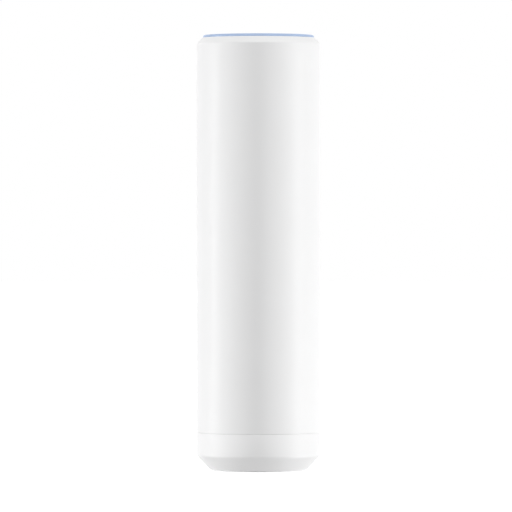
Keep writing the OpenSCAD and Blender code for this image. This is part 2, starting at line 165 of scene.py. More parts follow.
def turned(*corners, steps=4, **arc):
    """A solid of revolution from corners (radius, height, fillet radius)."""
    return lathe(rounded(corners, steps), **arc)


def skinned(rings):
    """A closed solid over a row of rings of places, which all have the same number of corners."""
    mesh = bmesh.new()
    rings = [[mesh.verts.new([c * MM for c in place]) for place in ring] for ring in rings]
    for first, second in zip(rings, rings[1:]):
        for k in range(len(first)):
            mesh.faces.new([first[k - 1], first[k], second[k], second[k - 1]])
    mesh.faces.new(rings[0])
    mesh.faces.new(rings[-1][::-1])
    bmesh.ops.recalc_face_normals(mesh, faces=mesh.faces)
    return mesh


def extruded(outline, axis, low, high):
    """A prism: the outline's two numbers run along the other two axes, in XYZ order."""
    caps = [[list(point) for point in outline] for _ in (low, high)]
    for cap, level in zip(caps, (low, high)):
        for place in cap:
            place.insert(axis, level)
    return skinned(caps)


def block(low, high, bevel=0.0, steps=2):
    """A box between two corners, with bevelled edges."""
    mesh = bmesh.new()
    bmesh.ops.create_cube(mesh, size=1)
    low, high = (Vector([c * MM for c in corner]) for corner in (low, high))
    size = high - low
    for vert in mesh.verts:
        vert.co = (low + high) / 2 + Vector(c * s for c, s in zip(vert.co, size))
    if bevel:
        reach = min(bevel * MM, min(size) * 0.45)
        edges = mesh.edges[:]
        bmesh.ops.bevel(mesh, geom=edges, offset=reach, segments=steps, affect="EDGES", profile=0.5)
    return mesh


def span_block(x, y, z, bevel=0.0, steps=2):
    """A block from its (low, high) pair along each axis."""
    return block(*zip(x, y, z), bevel, steps)


def moved(part, place=(0, 0, 0), turn=None):
    """The mesh itself, turned about the origin and then moved."""
    matrix = Matrix.Translation(Vector(place) * MM) @ (turn or Matrix.Identity(4))
    bmesh.ops.transform(part, matrix=matrix, verts=part.verts)
    return part


AXES = Matrix.Identity(3)


def peg(axis, at, low, high, radius, bevel=0.0, segments=32):
    """A round bar along an axis. at holds its other two coordinates, in XYZ order."""
    outline = ((0, low, 0), (radius, low, bevel), (radius, high, bevel), (0, high, 0))
    place = list(at)
    place.insert(axis, 0)
    turn = AXES[2].rotation_difference(AXES[axis]).to_matrix().to_4x4()
    return moved(turned(*outline, steps=3, segments=segments), place, turn)


def drum(x, y, low, high, radius, segments=48):
    """An upright round bar, mostly used to cut holes."""
    return peg(2, (x, y), low, high, radius, segments=segments)


def placed(name, data):
    """A new object in the scene."""
    made = bpy.data.objects.new(name, data)
    scene.collection.objects.link(made)
    return made


def joined(meshes):
    """One mesh from several, which stay separate shells."""
    whole = bmesh.new()
    for part in meshes:
        store = bpy.data.meshes.new("part")
        part.to_mesh(store)
        part.free()
        whole.from_mesh(store)
        bpy.data.meshes.remove(store)
    return whole


def combined(target, tool, how="DIFFERENCE"):
    """An exact boolean of two meshes. Both are used up."""
    objects = []
    for mesh in (target, tool):
        store = bpy.data.meshes.new("boolean")
        mesh.to_mesh(store)
        mesh.free()
        objects.append(placed("boolean", store))
    modifier = objects[0].modifiers.new("boolean", "BOOLEAN")
    modifier.object = objects[1]
    modifier.operation = how
    modifier.solver = "EXACT"
    shape = objects[0].evaluated_get(bpy.context.evaluated_depsgraph_get()).to_mesh()
    result = bmesh.new()
    result.from_mesh(shape)
    for thing in objects:
        store = thing.data
        bpy.data.objects.remove(thing)
        bpy.data.meshes.remove(store)
    bmesh.ops.remove_doubles(result, verts=result.verts, dist=0.0001 * MM)
    return result


def solids(node):
    """The boxes of a CAD node's separate solids in metres, as (low, high) pairs."""
    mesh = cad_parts[node].data
    keys = [tuple(round(c / (0.001 * MM)) for c in v.co) for v in mesh.vertices]
    parent = {key: key for key in keys}

    def root(key):
        while parent[key] != key:
            parent[key] = parent[parent[key]]
            key = parent[key]
        return key

    for edge in mesh.edges:
        a, b = (root(keys[i]) for i in edge.vertices)
        parent[a] = b
    groups = {}
    for vert, key in zip(mesh.vertices, keys):
        groups.setdefault(root(key), []).append(vert.co)
    boxes = [(Vector(map(min, *group)), Vector(map(max, *group))) for group in groups.values()]
    return sorted(boxes, key=lambda pair: tuple(round(c, 6) for c in pair[0]))


def islands(node):
    """The same boxes in millimetres."""
    return [(low / MM, high / MM) for low, high in solids(node)]


# ---- Materials ----


class Nodes:
    """Short calls that add nodes to a tree."""

    def __init__(self, tree):
        tree.nodes.clear()
        self.tree = tree

    def node(self, kind, inputs=None, **settings):
        """A node of that kind. An input is a constant, or another node's output."""
        made = self.tree.nodes.new("ShaderNode" + kind)
        for key, value in settings.items():
            setattr(made, key, value)
        for key, value in (inputs or {}).items():
            if isinstance(value, bpy.types.NodeSocket):
                self.tree.links.new(value, made.inputs[key])
            else:
                made.inputs[key].default_value = value
        return made

    def math(self, operation, a, b=0.0):
        return self.node("Math", {0: a, 1: b}, operation=operation).outputs[0]


class Paint(Nodes):
    """A Principled material, with calls that wire procedural detail into it."""

    def __init__(self, name, colour, roughness, **sockets):
        self.material = bpy.data.materials.new(name)
        self.material.use_nodes = True
        super().__init__(self.material.node_tree)
        self.shader = self.node("BsdfPrincipled")
        self.output = self.node("OutputMaterial", {"Surface": self.shader.outputs[0]})
        self.place = self.node("TexCoord").outputs["Object"]
        self.set("Base Color", (*colour, 1))
        self.set("Roughness", roughness)
        for socket, value in sockets.items():
            self.set(socket.replace("_", " "), value)
        self.roughness = roughness
        self.bumped = None

    def set(self, socket, value):
        self.shader.inputs[socket].default_value = value

    def link(self, output, socket):
        self.tree.links.new(output, self.shader.inputs[socket])

    def stretched(self, scale):
        """Object coordinates with a scale for each axis."""
        return self.node("Mapping", {"Vector": self.place, "Scale": scale}).outputs[0]

    def noise(self, scale, detail=3.0, vector=None):
        """Noise from 0 to 1 with features about 1 / scale metres across."""
        inputs = {"Vector": vector or self.place, "Scale": scale, "Detail": detail}
        return self.node("TexNoise", inputs).outputs[0]

    def wave(self, scale, direction):
        """Straight bands across one axis, from 0 to 1."""
        inputs = {"Vector": self.place, "Scale": scale}
        return self.node("TexWave", inputs, bands_direction=direction).outputs[1]

    def fade(self, value, low, high, to_low, to_high):
        """Maps low..high to to_low..to_high and stays between them."""
        inputs = {0: value, 1: low, 2: high, 3: to_low, 4: to_high}
        return self.node("MapRange", inputs, clamp=True).outputs[0]

    def tint(self, factor, colour):
        """Mixes a second colour in by a 0 to 1 factor."""
        socket = self.shader.inputs["Base Color"]
        first = socket.links[0].from_socket if socket.links else tuple(socket.default_value)
        mix = self.node("Mix", {0: factor, 6: first, 7: (*colour, 1)}, data_type="RGBA")
        self.link(mix.outputs[2], "Base Color")

    def rough(self, value, spread):
        """Varies the roughness by that much either way, following a 0 to 1 value."""
        low, high = self.roughness - spread, self.roughness + spread
        self.link(self.fade(value, 0.3, 0.7, low, high), "Roughness")

    def bump(self, height, depth, strength=1.0):
        """Adds relief that deep to what is there already."""
        inputs = {"Height": height, "Distance": depth, "Strength": strength}
        if self.bumped:
            inputs["Normal"] = self.bumped
        self.bumped = self.node("Bump", inputs).outputs[0]
        self.link(self.bumped, "Normal")


def plastic(name, colour, roughness=0.42, grain=0.012 * MM, **sockets):
    """Moulded plastic: spark-eroded grain, a faint cloud in the colour, small gloss changes."""
    paint = Paint(name, colour, roughness, **sockets)
    cloud = paint.noise(60, 2)
    paint.tint(paint.fade(cloud, 0.35, 0.7, 0, 0.35), tuple(c * 0.97 for c in colour))
    paint.rough(paint.noise(900, 3), 0.05)
    paint.bump(paint.noise(5200, 2), grain, 0.35)
    return paint


def rubber(name, colour):
    """Moulded rubber: matt, with fine speckle and a dusty bloom."""
    paint = Paint(name, colour, 0.8, Specular_IOR_Level=0.3)
    bloom = tuple(min(1, c * 1.25 + 0.02) for c in colour)
    paint.tint(paint.fade(paint.noise(260, 4), 0.45, 0.75, 0, 0.3), bloom)
    paint.rough(paint.noise(1500, 2), 0.08)
    paint.bump(paint.noise(3500, 3), 0.02 * MM, 0.5)
    return paint


def metal(name, colour, roughness, grain=(40, 40, 2500), depth=0.004 * MM):
    """Bare or plated metal with a directional grain and faint blotches."""
    paint = Paint(name, colour, roughness, Metallic=1.0)
    streaks = paint.noise(1, 4, paint.stretched(grain))
    paint.rough(streaks, 0.09)
    paint.bump(streaks, depth, 0.4)
    paint.tint(paint.fade(paint.noise(150, 3), 0.45, 0.7, 0, 0.4), tuple(c * 0.86 for c in colour))
    return paint


WHITE = (0.86, 0.86, 0.862)
white = plastic("satin_white", WHITE)
inner_white = plastic("inner_white", (0.78, 0.78, 0.775), 0.5, 0.02 * MM)
sleeve_black = plastic("sleeve_black", (0.022, 0.022, 0.024), 0.48, 0.02 * MM)
insert_black = plastic("insert_black", (0.018, 0.018, 0.02), 0.38)
button_grey = plastic("button_grey", (0.23, 0.235, 0.25), 0.4)
pale_rubber = rubber("pale_rubber", (0.93, 0.93, 0.93))
grey_rubber = rubber("grey_rubber", (0.5, 0.5, 0.505))
dark_rubber = rubber("dark_rubber", (0.03, 0.03, 0.032))
plated = metal("plated_steel", (0.66, 0.66, 0.65), 0.3)
zinc = metal("zinc_screw", (0.6, 0.61, 0.63), 0.28, (900, 900, 900))
gold = metal("gold_plate", (0.86, 0.62, 0.25), 0.2)


def diffuser():
    """Milky plastic of the light ring, lit from below by one emitter after another. Its blue base colour
    is painted glow, standing in for part of the emitters' blue light; the emission gives the rest.
    """
    # the blue base colour is painted glow: part of the lit ring's blue light, not the diffuser's own
    # colour
    paint = Paint("ring_diffuser", (0.36, 0.45, 0.63), 0.35, IOR=1.5)
    x, y, z = paint.node("SeparateXYZ", {0: paint.place}).outputs
    emitters = len(islands("led_emitters"))
    angle = paint.math("ARCTAN2", y, x)
    wave = paint.math("COSINE", paint.math("MULTIPLY_ADD", angle, emitters))
    spots = paint.fade(paint.math("MULTIPLY", wave, -1), -1, 1, 0.9, 1.0)
    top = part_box("light_ring")[1].z
    climb = paint.fade(z, top - 1.2 * MM, top, 0.8, 1.0)
    cloud = paint.fade(paint.noise(700, 2), 0.3, 0.7, 0.96, 1.04)
    glow = paint.math("MULTIPLY", paint.math("MULTIPLY", spots, climb), cloud)
    paint.link(paint.math("MULTIPLY", glow, 0.125), "Emission Strength")
    paint.set("Emission Color", (0.35, 0.62, 1.0, 1))
    paint.rough(paint.noise(1200, 3), 0.05)
    paint.bump(paint.noise(2600, 2), 0.006 * MM, 0.3)
    return paint


ring_light = diffuser()


# ---- Pieces ----


def piece(name, mesh, body, slot, paint, *nodes, sharp=32):
    """Makes an object from a bmesh, rides it on its body and hides the CAD nodes that it stands for."""
    store = bpy.data.meshes.new(name)
    mesh.to_mesh(store)
    mesh.free()
    store.shade_smooth()
    store.set_sharp_from_angle(angle=math.radians(sharp))
    store.materials.append(paint.material)
    made = placed(name, store)
    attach(made, body)
    if nodes:
        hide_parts(*nodes)


def box(node):
    """A CAD node's lowest and highest corners."""
    low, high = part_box(node)
    return low / MM, high / MM


housing_low, housing_high = box("housing")
base_low, base_high = box("base")
ring_low, ring_high = box("light_ring")
plate_low, plate_high = box("port_plate")

BODY_R = housing_high.x
WALL = 1.8
INNER_R = BODY_R - WALL
SHOULDER_W = 2.2
SHOULDER_H = 2.25
SHOULDER_FLAT = 0.4
LIP_R = BODY_R - SHOULDER_W
LEDGE_Z = housing_high.z - 4.55
CLEAR = 0.05
GUIDE_W = 2.4
GUIDE_R = INNER_R - 0.5


def guides(low, high, play=0.0):
    """The two ribs down the inside of the housing, or with some play the notches that run on them."""
    bars = []
    for side in (-1, 1):
        ends = sorted((side * (GUIDE_R - play), side * (INNER_R + 0.4)))
        bars.append(span_block(ends, (-GUIDE_W / 2 - play, GUIDE_W / 2 + play), (low, high)))
    return joined(bars)


housing = turned(
    (INNER_R, housing_low.z, 0.15),
    (BODY_R, housing_low.z, 0.06),
    (BODY_R, housing_high.z - SHOULDER_H, 1.2),
    (LIP_R + SHOULDER_FLAT, housing_high.z, 0.35),
    (LIP_R, housing_high.z, 0.04),
    (LIP_R, LEDGE_Z, 0.05),
    (INNER_R, LEDGE_Z, 0),
    steps=10,
    segments=256,
)
housing = combined(housing, guides(plate_low.z, LEDGE_Z + 0.2), "UNION")
piece("housing_shell", housing, "unit", "housing_white", white, "housing")

RING_R = LIP_R - CLEAR
RING_INNER_R = RING_R - 2
CAP_EDGE_R = RING_INNER_R - 1.3
CAP_LEDGE_Z = LEDGE_Z + 2.6
RING_SKIRT_R = CAP_EDGE_R + 0.8
RING_FLANGE_Z = LEDGE_Z - 1.05
ring = turned(
    (CAP_EDGE_R, ring_low.z, 0.1),
    (RING_SKIRT_R, ring_low.z, 0.1),
    (RING_SKIRT_R, RING_FLANGE_Z, 0.1),
    (INNER_R - CLEAR, RING_FLANGE_Z, 0.15),
    (INNER_R - CLEAR, LEDGE_Z - CLEAR, 0.1),
    (RING_R, LEDGE_Z - CLEAR, 0.05),
    (RING_R, ring_high.z, 0.7),
    (RING_INNER_R, ring_high.z, 0.25),
    (RING_INNER_R, CAP_LEDGE_Z, 0),
    (CAP_EDGE_R, CAP_LEDGE_Z, 0.1),
    steps=8,
    segments=256,
)
ring = combined(ring, guides(ring_low.z - 1, LEDGE_Z - CLEAR / 2, 0.1))
piece("light_ring_diffuser", ring, "unit", "ring_diffuser", ring_light, "light_ring")

cap_low, cap_high = box("top_cap")
CAP_R = RING_INNER_R - CLEAR
CAP_INNER_R = CAP_EDGE_R - 2
CAP_UNDER_Z = cap_high.z - 1.6
DISH = 0.12
LEG_R = 12.7
LEG_T = 1.4
HOOK_REACH = 1
cap = turned(
    (0, CAP_UNDER_Z, 0),
    (CAP_INNER_R, CAP_UNDER_Z, 0.2),
    (CAP_INNER_R, CAP_LEDGE_Z + CLEAR, 0.1),
    (CAP_R, CAP_LEDGE_Z + CLEAR, 0.1),
    (CAP_R, cap_high.z, 0.3),
    (CAP_R - 1.1, cap_high.z, 0.5),
    (CAP_R - 1.6, cap_high.z - DISH, 0.5),
    (0, cap_high.z - DISH, 0),
    steps=6,
)
for angle in (30, 150, 270):
    leg = turned(
        (LEG_R - LEG_T, cap_high.z - 1, 0),
        (LEG_R - LEG_T, cap_low.z, 0.2),
        (LEG_R - 0.4, cap_low.z, 0.2),
        (LEG_R + HOOK_REACH, cap_low.z + 1.2, 0.15),
        (LEG_R + HOOK_REACH, cap_low.z + 2.15, 0.1),
        (LEG_R, cap_low.z + 2.15, 0.15),
        (LEG_R, cap_high.z - 1, 0),
        segments=12,
        start=math.radians(angle - 9),
        sweep=math.radians(18),
    )
    cap = combined(cap, leg, "UNION")
piece("top_cap_disc", cap, "unit", "cap_white", white, "top_cap")

# ---- Base ----

CHAMFER_W = 4.8
CHAMFER_TOP = base_low.z + 5.1
SEAM_GAP = 0.1
BASE_TOP = housing_low.z - SEAM_GAP
LIP_DEEP = 0.2
FLOOR_LOW = 6.2
FLOOR_TOP = 8.2
SPIGOT_R = 19.3
SPIGOT_INNER_R = 17.7
RIM_W = 3.6
BOTTOM_R = BODY_R - CHAMFER_W
RECESS_R = BOTTOM_R - RIM_W
RECESS_TOP_R = RECESS_R + (FLOOR_LOW - base_low.z) * CHAMFER_W / (CHAMFER_TOP - base_low.z)
HOLE_R = 7.2
PILLAR_R = 3.6
SCREW_X = 12.5
SCREW_HOLE_R = 2.1
PINHOLE_R = 1.3
FOOT_TOP = 1.3
NOTCH_R = 3.4
NOTCH_Z = 2.6
RESET_X = 9.5
RESET_Y = 8.6
FOOT_R = BOTTOM_R - 2
FOOT_GROOVE_R = BOTTOM_R - 0.5


def notch():
    """The arched bar that cuts the cable's way through the rear of the rim."""
    arch = [(-NOTCH_R, -1), (NOTCH_R, -1)]
    for k in range(33):
        angle = math.pi * k / 32
        arch.append((NOTCH_R * math.cos(angle), NOTCH_Z + NOTCH_R * math.sin(angle)))
    return extruded(arch, 1, 9, BODY_R + 1)


def helix_bars(outer, inner, low, high, wide, starts=4, lead=36.0, steps=20, round_by=0.0):
    """Helical ribs round Z, whose angle depends only on the height."""
    bars = []
    for start in range(starts):
        rings = []
        for k in range(steps + 1):
            z = low + (high - low) * k / steps
            middle = TAU * (start / starts + z / lead)
            half = math.radians(wide / 2)
            if round_by:
                half -= 0.5 * round_by / outer * max(0, abs(2 * k / steps - 1) - 0.85) / 0.15
            section = [(outer, middle - half + half * j / 2) for j in range(5)]
            if round_by:
                section[0] = (outer - round_by, section[0][1] - round_by / outer * 0.3)
                section[-1] = (outer - round_by, section[-1][1] + round_by / outer * 0.3)
            section += [(inner, middle + half - half * j / 2) for j in range(5)]
            rings.append([(r * math.cos(a), r * math.sin(a), z) for r, a in section])
        bars.append(skinned(rings))
    return joined(bars)


base = turned(
    (RECESS_R, base_low.z, 0.2),
    (FOOT_R, base_low.z, 0.1),
    (FOOT_R, FOOT_TOP, 0),
    (FOOT_GROOVE_R, FOOT_TOP, 0),
    (FOOT_GROOVE_R, base_low.z, 0.1),
    (BOTTOM_R, base_low.z, 0.35),
    (BODY_R, CHAMFER_TOP, 1.6),
    (BODY_R, BASE_TOP, 0.15),
    (BODY_R - LIP_DEEP, BASE_TOP, 0),
    (BODY_R - LIP_DEEP, housing_low.z - 0.01, 0),
    (INNER_R, housing_low.z - 0.01, 0),
    (INNER_R, FLOOR_TOP, 0.3),
    (SPIGOT_R, FLOOR_TOP, 0.3),
    (SPIGOT_R, base_high.z, 0.4),
    (SPIGOT_INNER_R, base_high.z, 0.2),
    (SPIGOT_INNER_R, FLOOR_TOP, 0.5),
    (HOLE_R, FLOOR_TOP, 0.1),
    (HOLE_R, FLOOR_LOW, 0.1),
    (RECESS_TOP_R, FLOOR_LOW, 0.5),
    steps=5,
    segments=256,
)
for side in (-1, 1):
    pillar = drum(side * SCREW_X, 0, base_low.z, FLOOR_LOW + 0.5, PILLAR_R, 64)
    base = combined(base, pillar, "UNION")
base = combined(base, notch())
holes = [drum(side * SCREW_X, 0, 0, 10, SCREW_HOLE_R) for side in (-1, 1)]
holes.append(drum(RESET_X, RESET_Y, 0, 10, PINHOLE_R))
base = combined(base, joined(holes))
thread = helix_bars(SPIGOT_R + 1, SPIGOT_R - 0.6, 18, 23, 12, round_by=0.25)
base = combined(base, thread, "UNION")
piece("base_shell", base, "base", "base_white", white, "base")

foot_high = box("foot_ring")[1]
foot = turned(
    (FOOT_R + CLEAR, 0, 0.25),
    (foot_high.x, 0, 0.12),
    (foot_high.x, FOOT_TOP, 0),
    (FOOT_R + CLEAR, FOOT_TOP, 0),
)
foot = combined(foot, notch())
piece("foot_ring_rubber", foot, "base", "rubber_pale", pale_rubber, "foot_ring")

bush_low, bush_high = box("cable_grommet")
BUSH_R = 2.8
SLIT_W = 0.4
bush = turned(
    (BUSH_R, bush_low.z, 0.35),
    (bush_high.x, bush_low.z, 0.35),
    (bush_high.x, FLOOR_LOW, 0.1),
    (HOLE_R - CLEAR, FLOOR_LOW, 0.1),
    (HOLE_R - CLEAR, FLOOR_TOP, 0.1),
    (bush_high.x, FLOOR_TOP, 0.1),
    (bush_high.x, bush_high.z, 0.35),
    (BUSH_R, bush_high.z, 0.35),
    segments=128,
)
bush = combined(bush, span_block((-SLIT_W / 2, SLIT_W / 2), (1, 10), (4, 10)))
piece("cable_bush", bush, "base", "rubber_pale", grey_rubber, "cable_grommet")

seal_low, seal_high = box("base_seal")
SEAL_INNER_R = 17.9
seal = turned(
    (SEAL_INNER_R, seal_low.z, 0.3),
    (seal_high.x, seal_low.z, 0.3),
    (seal_high.x, seal_high.z, 0.2),
    (SEAL_INNER_R, seal_high.z, 0.2),
)
piece("base_seal_ring", seal, "seal", "rubber_dark", dark_rubber, "base_seal")

# ---- Unit's underside ----

SCREW_HEAD_R = 1.9
SCREW_HEAD_H = 1.3
SMALL_HEAD_R = 1.6
THREAD_PITCH = 0.4
SHANK_HOLE_R = 1.05
BUTTON_HOLE_R = 1.95
WINDOW = (-6.6, -7.0, 6.6, 4.4)


def round_rect(x0, y0, x1, y1, fillet, steps=4):
    """The outline of a rectangle with rounded corners."""
    return rounded([(x0, y0, fillet), (x1, y0, fillet), (x1, y1, fillet), (x0, y1, fillet)], steps)


def screw(length, head_r, head_h=SCREW_HEAD_H, shank_r=1.0):
    """A pan-head machine screw, head downward at the origin, shank along +Z."""
    outline = [(0, 0, 0), (head_r * 0.7, 0, 0.3), (head_r, head_h * 0.5, 0.25), (head_r, head_h, 0.08)]
    core_r = shank_r * 0.82
    outline.append((core_r, head_h, 0))
    for k in range(int(length / THREAD_PITCH) - 1):
        z = head_h + 0.3 + k * THREAD_PITCH
        outline += [(core_r, z, 0), (shank_r, z + 0.14, 0), (core_r, z + 0.28, 0)]
    tip = head_h + length
    outline += [(core_r, tip - 0.3, 0), (shank_r * 0.5, tip, 0), (0, tip, 0)]
    body = turned(*outline, segments=40)
    reach = head_r * 0.62
    for x, y in ((reach, 0.2), (0.2, reach)):
        body = combined(body, span_block((-x, x), (-y, y), (-1, 0.7), 0.03, 1))
    return body


def screws(name, node, body, direction, length, head_r):
    """One screw for each solid of a CAD node. direction is the way the shank points."""
    turn = AXES[2].rotation_difference(Vector(direction)).to_matrix().to_4x4()
    made = []
    for i, (low, high) in enumerate(islands(node)):
        start = (low + high) / 2
        for axis, way in enumerate(direction):
            if way:
                start[axis] = low[axis] if way > 0 else high[axis]
        spin = Matrix.Rotation(math.radians(23 + 67 * i), 4, "Z")
        made.append(moved(screw(length, head_r), start, turn @ spin))
    piece(name, joined(made), body, "screw_steel", zinc, node)


plate = turned(
    (0, plate_low.z, 0),
    (INNER_R - CLEAR, plate_low.z, 0.2),
    (INNER_R - CLEAR, plate_high.z, 0.2),
    (0, plate_high.z, 0),
)
cuts = [extruded(round_rect(*WINDOW, 0.6), 2, plate_low.z - 1, plate_high.z + 1)]
cuts.append(drum(RESET_X, RESET_Y, 20, 30, BUTTON_HOLE_R))
sinks = []
for low, high in islands("plate_screws"):
    middle = (low + high) / 2
    cuts.append(drum(middle.x, middle.y, 20, 30, SHANK_HOLE_R))
    sinks.append(drum(middle.x, middle.y, 20, low.z + SCREW_HEAD_H, SCREW_HEAD_R + 0.1))
plate = combined(plate, joined(cuts))
plate = combined(plate, joined(sinks))
plate = combined(plate, guides(plate_low.z - 1, plate_high.z + 1, 0.1))
piece("port_plate_disc", plate, "unit", "inner_plastic", inner_white, "port_plate")
screws("plate_screw_set", "plate_screws", "unit", (0, 0, 1), 6, SCREW_HEAD_R)

collar_low, collar_high = box("thread_collar")
COLLAR_TOP = 23.6
COLLAR_R = SPIGOT_R + 0.2
RELIEF_R = SPIGOT_R + 1.3
collar = turned(
    (COLLAR_R, collar_low.z, 0.3),
    (INNER_R - CLEAR, collar_low.z, 0.1),
    (INNER_R - CLEAR, collar_high.z, 0.1),
    (RELIEF_R, collar_high.z, 0.1),
    (RELIEF_R, COLLAR_TOP, 0),
    (COLLAR_R, COLLAR_TOP, 0.1),
)
grooves = helix_bars(SPIGOT_R + 1.2, SPIGOT_R - 0.8, 16.6, 24.6, 13.4, steps=32)
collar = combined(collar, grooves)
piece("thread_collar_ring", collar, "unit", "inner_plastic", inner_white, "thread_collar")

button_low, button_high = box("reset_button")
BUTTON_R = 1.8
BUTTON_RIM_R = 2.6
BUTTON_RIM_Z = plate_high.z + 0.85
NUB_R = 1
button = turned(
    (0, button_low.z, 0),
    (BUTTON_R, button_low.z, 0.35),
    (BUTTON_R, plate_high.z + CLEAR, 0),
    (BUTTON_RIM_R, plate_high.z + CLEAR, 0.1),
    (BUTTON_RIM_R, BUTTON_RIM_Z, 0.1),
    (NUB_R, BUTTON_RIM_Z, 0.1),
    (NUB_R, button_high.z, 0.2),
    (0, button_high.z, 0),
    segments=64,
)
moved(button, (RESET_X, RESET_Y, 0))
piece("reset_button_cap", button, "reset_button", "button_grey", button_grey, "reset_button")

# ---- Inside: shapes ----


def eased(points, radius, steps=6):
    """An open path in space with its corners rounded."""
    points = [Vector(p) for p in points]
    path = [points[0]]
    for before, here, after in zip(points, points[1:], points[2:]):
        back, on = before - here, after - here
        reach = min(radius, back.length * 0.48, on.length * 0.48)
        first, last = here + back.normalized() * reach, here + on.normalized() * reach
        for k in range(steps + 1):
            t = k / steps
            path.append(first.lerp(here, t).lerp(here.lerp(last, t), t))
    path.append(points[-1])
    return path


def tube(path, radius, segments=16):
    """A round tube along a path, closed at both ends."""
    rings = []
    side = None
    for i, here in enumerate(path):
        along = (path[min(i + 1, len(path) - 1)] - path[max(i - 1, 0)]).normalized()
        side = along.orthogonal() if side is None else side - along * side.dot(along)
        side.normalize()
        up = along.cross(side)
        angles = [TAU * k / segments for k in range(segments)]
        rings.append([here + (side * math.cos(a) + up * math.sin(a)) * radius for a in angles])
    return skinned(rings)


def each_solid(name, node, slot, paint, shape, *details):
    """A piece with one shell, made by shape(low, high), for each solid of a CAD node."""
    shells = [shape(low, high, *details) for low, high in islands(node)]
    piece(name, joined(shells), "unit", slot, paint, node)


def dressed(node, paint):
    """Keeps a CAD node whose shape is right and gives it a finish."""
    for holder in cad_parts[node].material_slots:
        holder.material = paint.material


# ---- Inside: finishes ----


def laminate():
    """Green solder mask over copper tracks, with plated holes whose dark centres are painted shade."""
    paint = Paint("circuit_laminate", (0.012, 0.095, 0.045), 0.35)
    zones = paint.noise(95, 1)
    for direction, low, high in (("X", 0.5, 0.53), ("Z", 0.5, 0.47)):
        bands = paint.fade(paint.wave(520, direction), 0.55, 0.65, 0, 1)
        tracks = paint.math("MULTIPLY", bands, paint.fade(zones, low, high, 0, 0.8))
        paint.tint(tracks, (0.03, 0.19, 0.085))
        paint.bump(tracks, 0.02 * MM, 0.5)
    holes = paint.node("TexVoronoi", {"Vector": paint.place, "Scale": 380}).outputs["Distance"]
    paint.tint(paint.fade(holes, 0.1, 0.13, 0.9, 0), (0.5, 0.4, 0.16))
    # the near-black centre of each plated hole is painted shade, standing in for the hole's depth
    paint.tint(paint.fade(holes, 0.04, 0.06, 1, 0), (0.01, 0.02, 0.01))
    paint.rough(paint.noise(1200, 2), 0.06)
    return paint


def epoxy(name, colour, roughness=0.55):
    """Moulded epoxy or pressed powder, with a fine open grain."""
    paint = Paint(name, colour, roughness, Specular_IOR_Level=0.4)
    speckle = tuple(c * 1.6 + 0.01 for c in colour)
    paint.tint(paint.fade(paint.noise(2200, 4), 0.45, 0.75, 0, 0.5), speckle)
    paint.rough(paint.noise(900, 3), 0.1)
    paint.bump(paint.noise(4000, 3), 0.015 * MM, 0.5)
    return paint


def tape():
    """Amber polyester tape wound round a coil, whose wire shows faintly through it."""
    paint = Paint("coil_tape", (0.6, 0.38, 0.05), 0.22, Coat_Weight=0.4)
    wire = paint.wave(900, "Z")
    paint.tint(paint.fade(wire, 0.2, 0.8, 0, 0.35), (0.42, 0.2, 0.03))
    paint.bump(wire, 0.03 * MM, 0.4)
    paint.bump(paint.noise(500, 3), 0.05 * MM, 0.3)
    paint.rough(paint.noise(700, 2), 0.06)
    return paint


def film():
    """Amber polyimide film with copper conductors under it."""
    paint = Paint("flex_film", (0.5, 0.24, 0.045), 0.25)
    lines = paint.wave(480, "X")
    paint.tint(paint.fade(lines, 0.4, 0.6, 0, 0.6), (0.62, 0.33, 0.1))
    paint.bump(lines, 0.015 * MM, 0.5)
    paint.rough(paint.noise(800, 2), 0.05)
    return paint


def phosphor():
    """Lit phosphor window of an emitter."""
    paint = Paint("phosphor", (0.8, 0.76, 0.5), 0.3, Emission_Color=(0.45, 0.68, 1.0, 1.0))
    paint.link(paint.fade(paint.noise(3000, 2), 0.3, 0.7, 0.8, 1.2), "Emission Strength")
    paint.tint(paint.fade(paint.noise(1800, 3), 0.4, 0.7, 0, 0.5), (0.85, 0.7, 0.3))
    paint.bump(paint.noise(2500, 2), 0.01 * MM, 0.3)
    return paint


board_green = laminate()
chip_black = epoxy("chip_epoxy", (0.018, 0.018, 0.02))
ferrite = epoxy("ferrite", (0.055, 0.055, 0.06), 0.65)
ceramic = epoxy("ceramic_tan", (0.32, 0.22, 0.13), 0.45)
package_white = plastic("package_white", (0.75, 0.74, 0.7), 0.4)
connector_cream = plastic("connector_cream", (0.66, 0.6, 0.48), 0.45)
can_sleeve = plastic("can_sleeve", (0.02, 0.024, 0.045), 0.3)
coax_jacket = plastic("coax_jacket", (0.016, 0.016, 0.017), 0.5)
pad_paint = rubber("gap_pad", (0.3, 0.38, 0.5))
coil_tape = tape()
flex_film = film()
glow_window = phosphor()
aluminium = metal("aluminium", (0.72, 0.73, 0.75), 0.36, (1400, 1400, 25), 0.008 * MM)
brass = metal("antenna_brass", (0.62, 0.47, 0.24), 0.32, (30, 30, 1800))
tin = metal("solder_tin", (0.68, 0.68, 0.67), 0.32, (700, 700, 700))

# ---- Inside: light board ----

dressed("led_board", board_green)
LED_W = 2.8
LED_D = 1.4
bodies = []
windows = []
for low, high in islands("led_emitters"):
    middle = (low + high) / 2
    turn = Matrix.Rotation(math.atan2(middle.y, middle.x), 4, "Z")
    out = middle.xy.length
    across = (out - LED_D / 2, out + LED_D / 2)
    shell = span_block(across, (-LED_W / 2, LED_W / 2), (low.z, high.z), 0.08)
    recess = peg(2, (out, 0), high.z - 0.15, high.z + 1, 0.55)
    window = peg(2, (out, 0), high.z - 0.2, high.z - 0.08, 0.52, 0.03)
    bodies.append(moved(combined(shell, recess), turn=turn))
    windows.append(moved(window, turn=turn))
piece("emitter_packages", joined(bodies), "unit", "emitter", package_white, "led_emitters")
piece("emitter_windows", joined(windows), "unit", "emitter", glow_window, "led_emitters")
screws("light_board_screws", "led_board_screws", "unit", (0, 0, -1), 3, SMALL_HEAD_R)

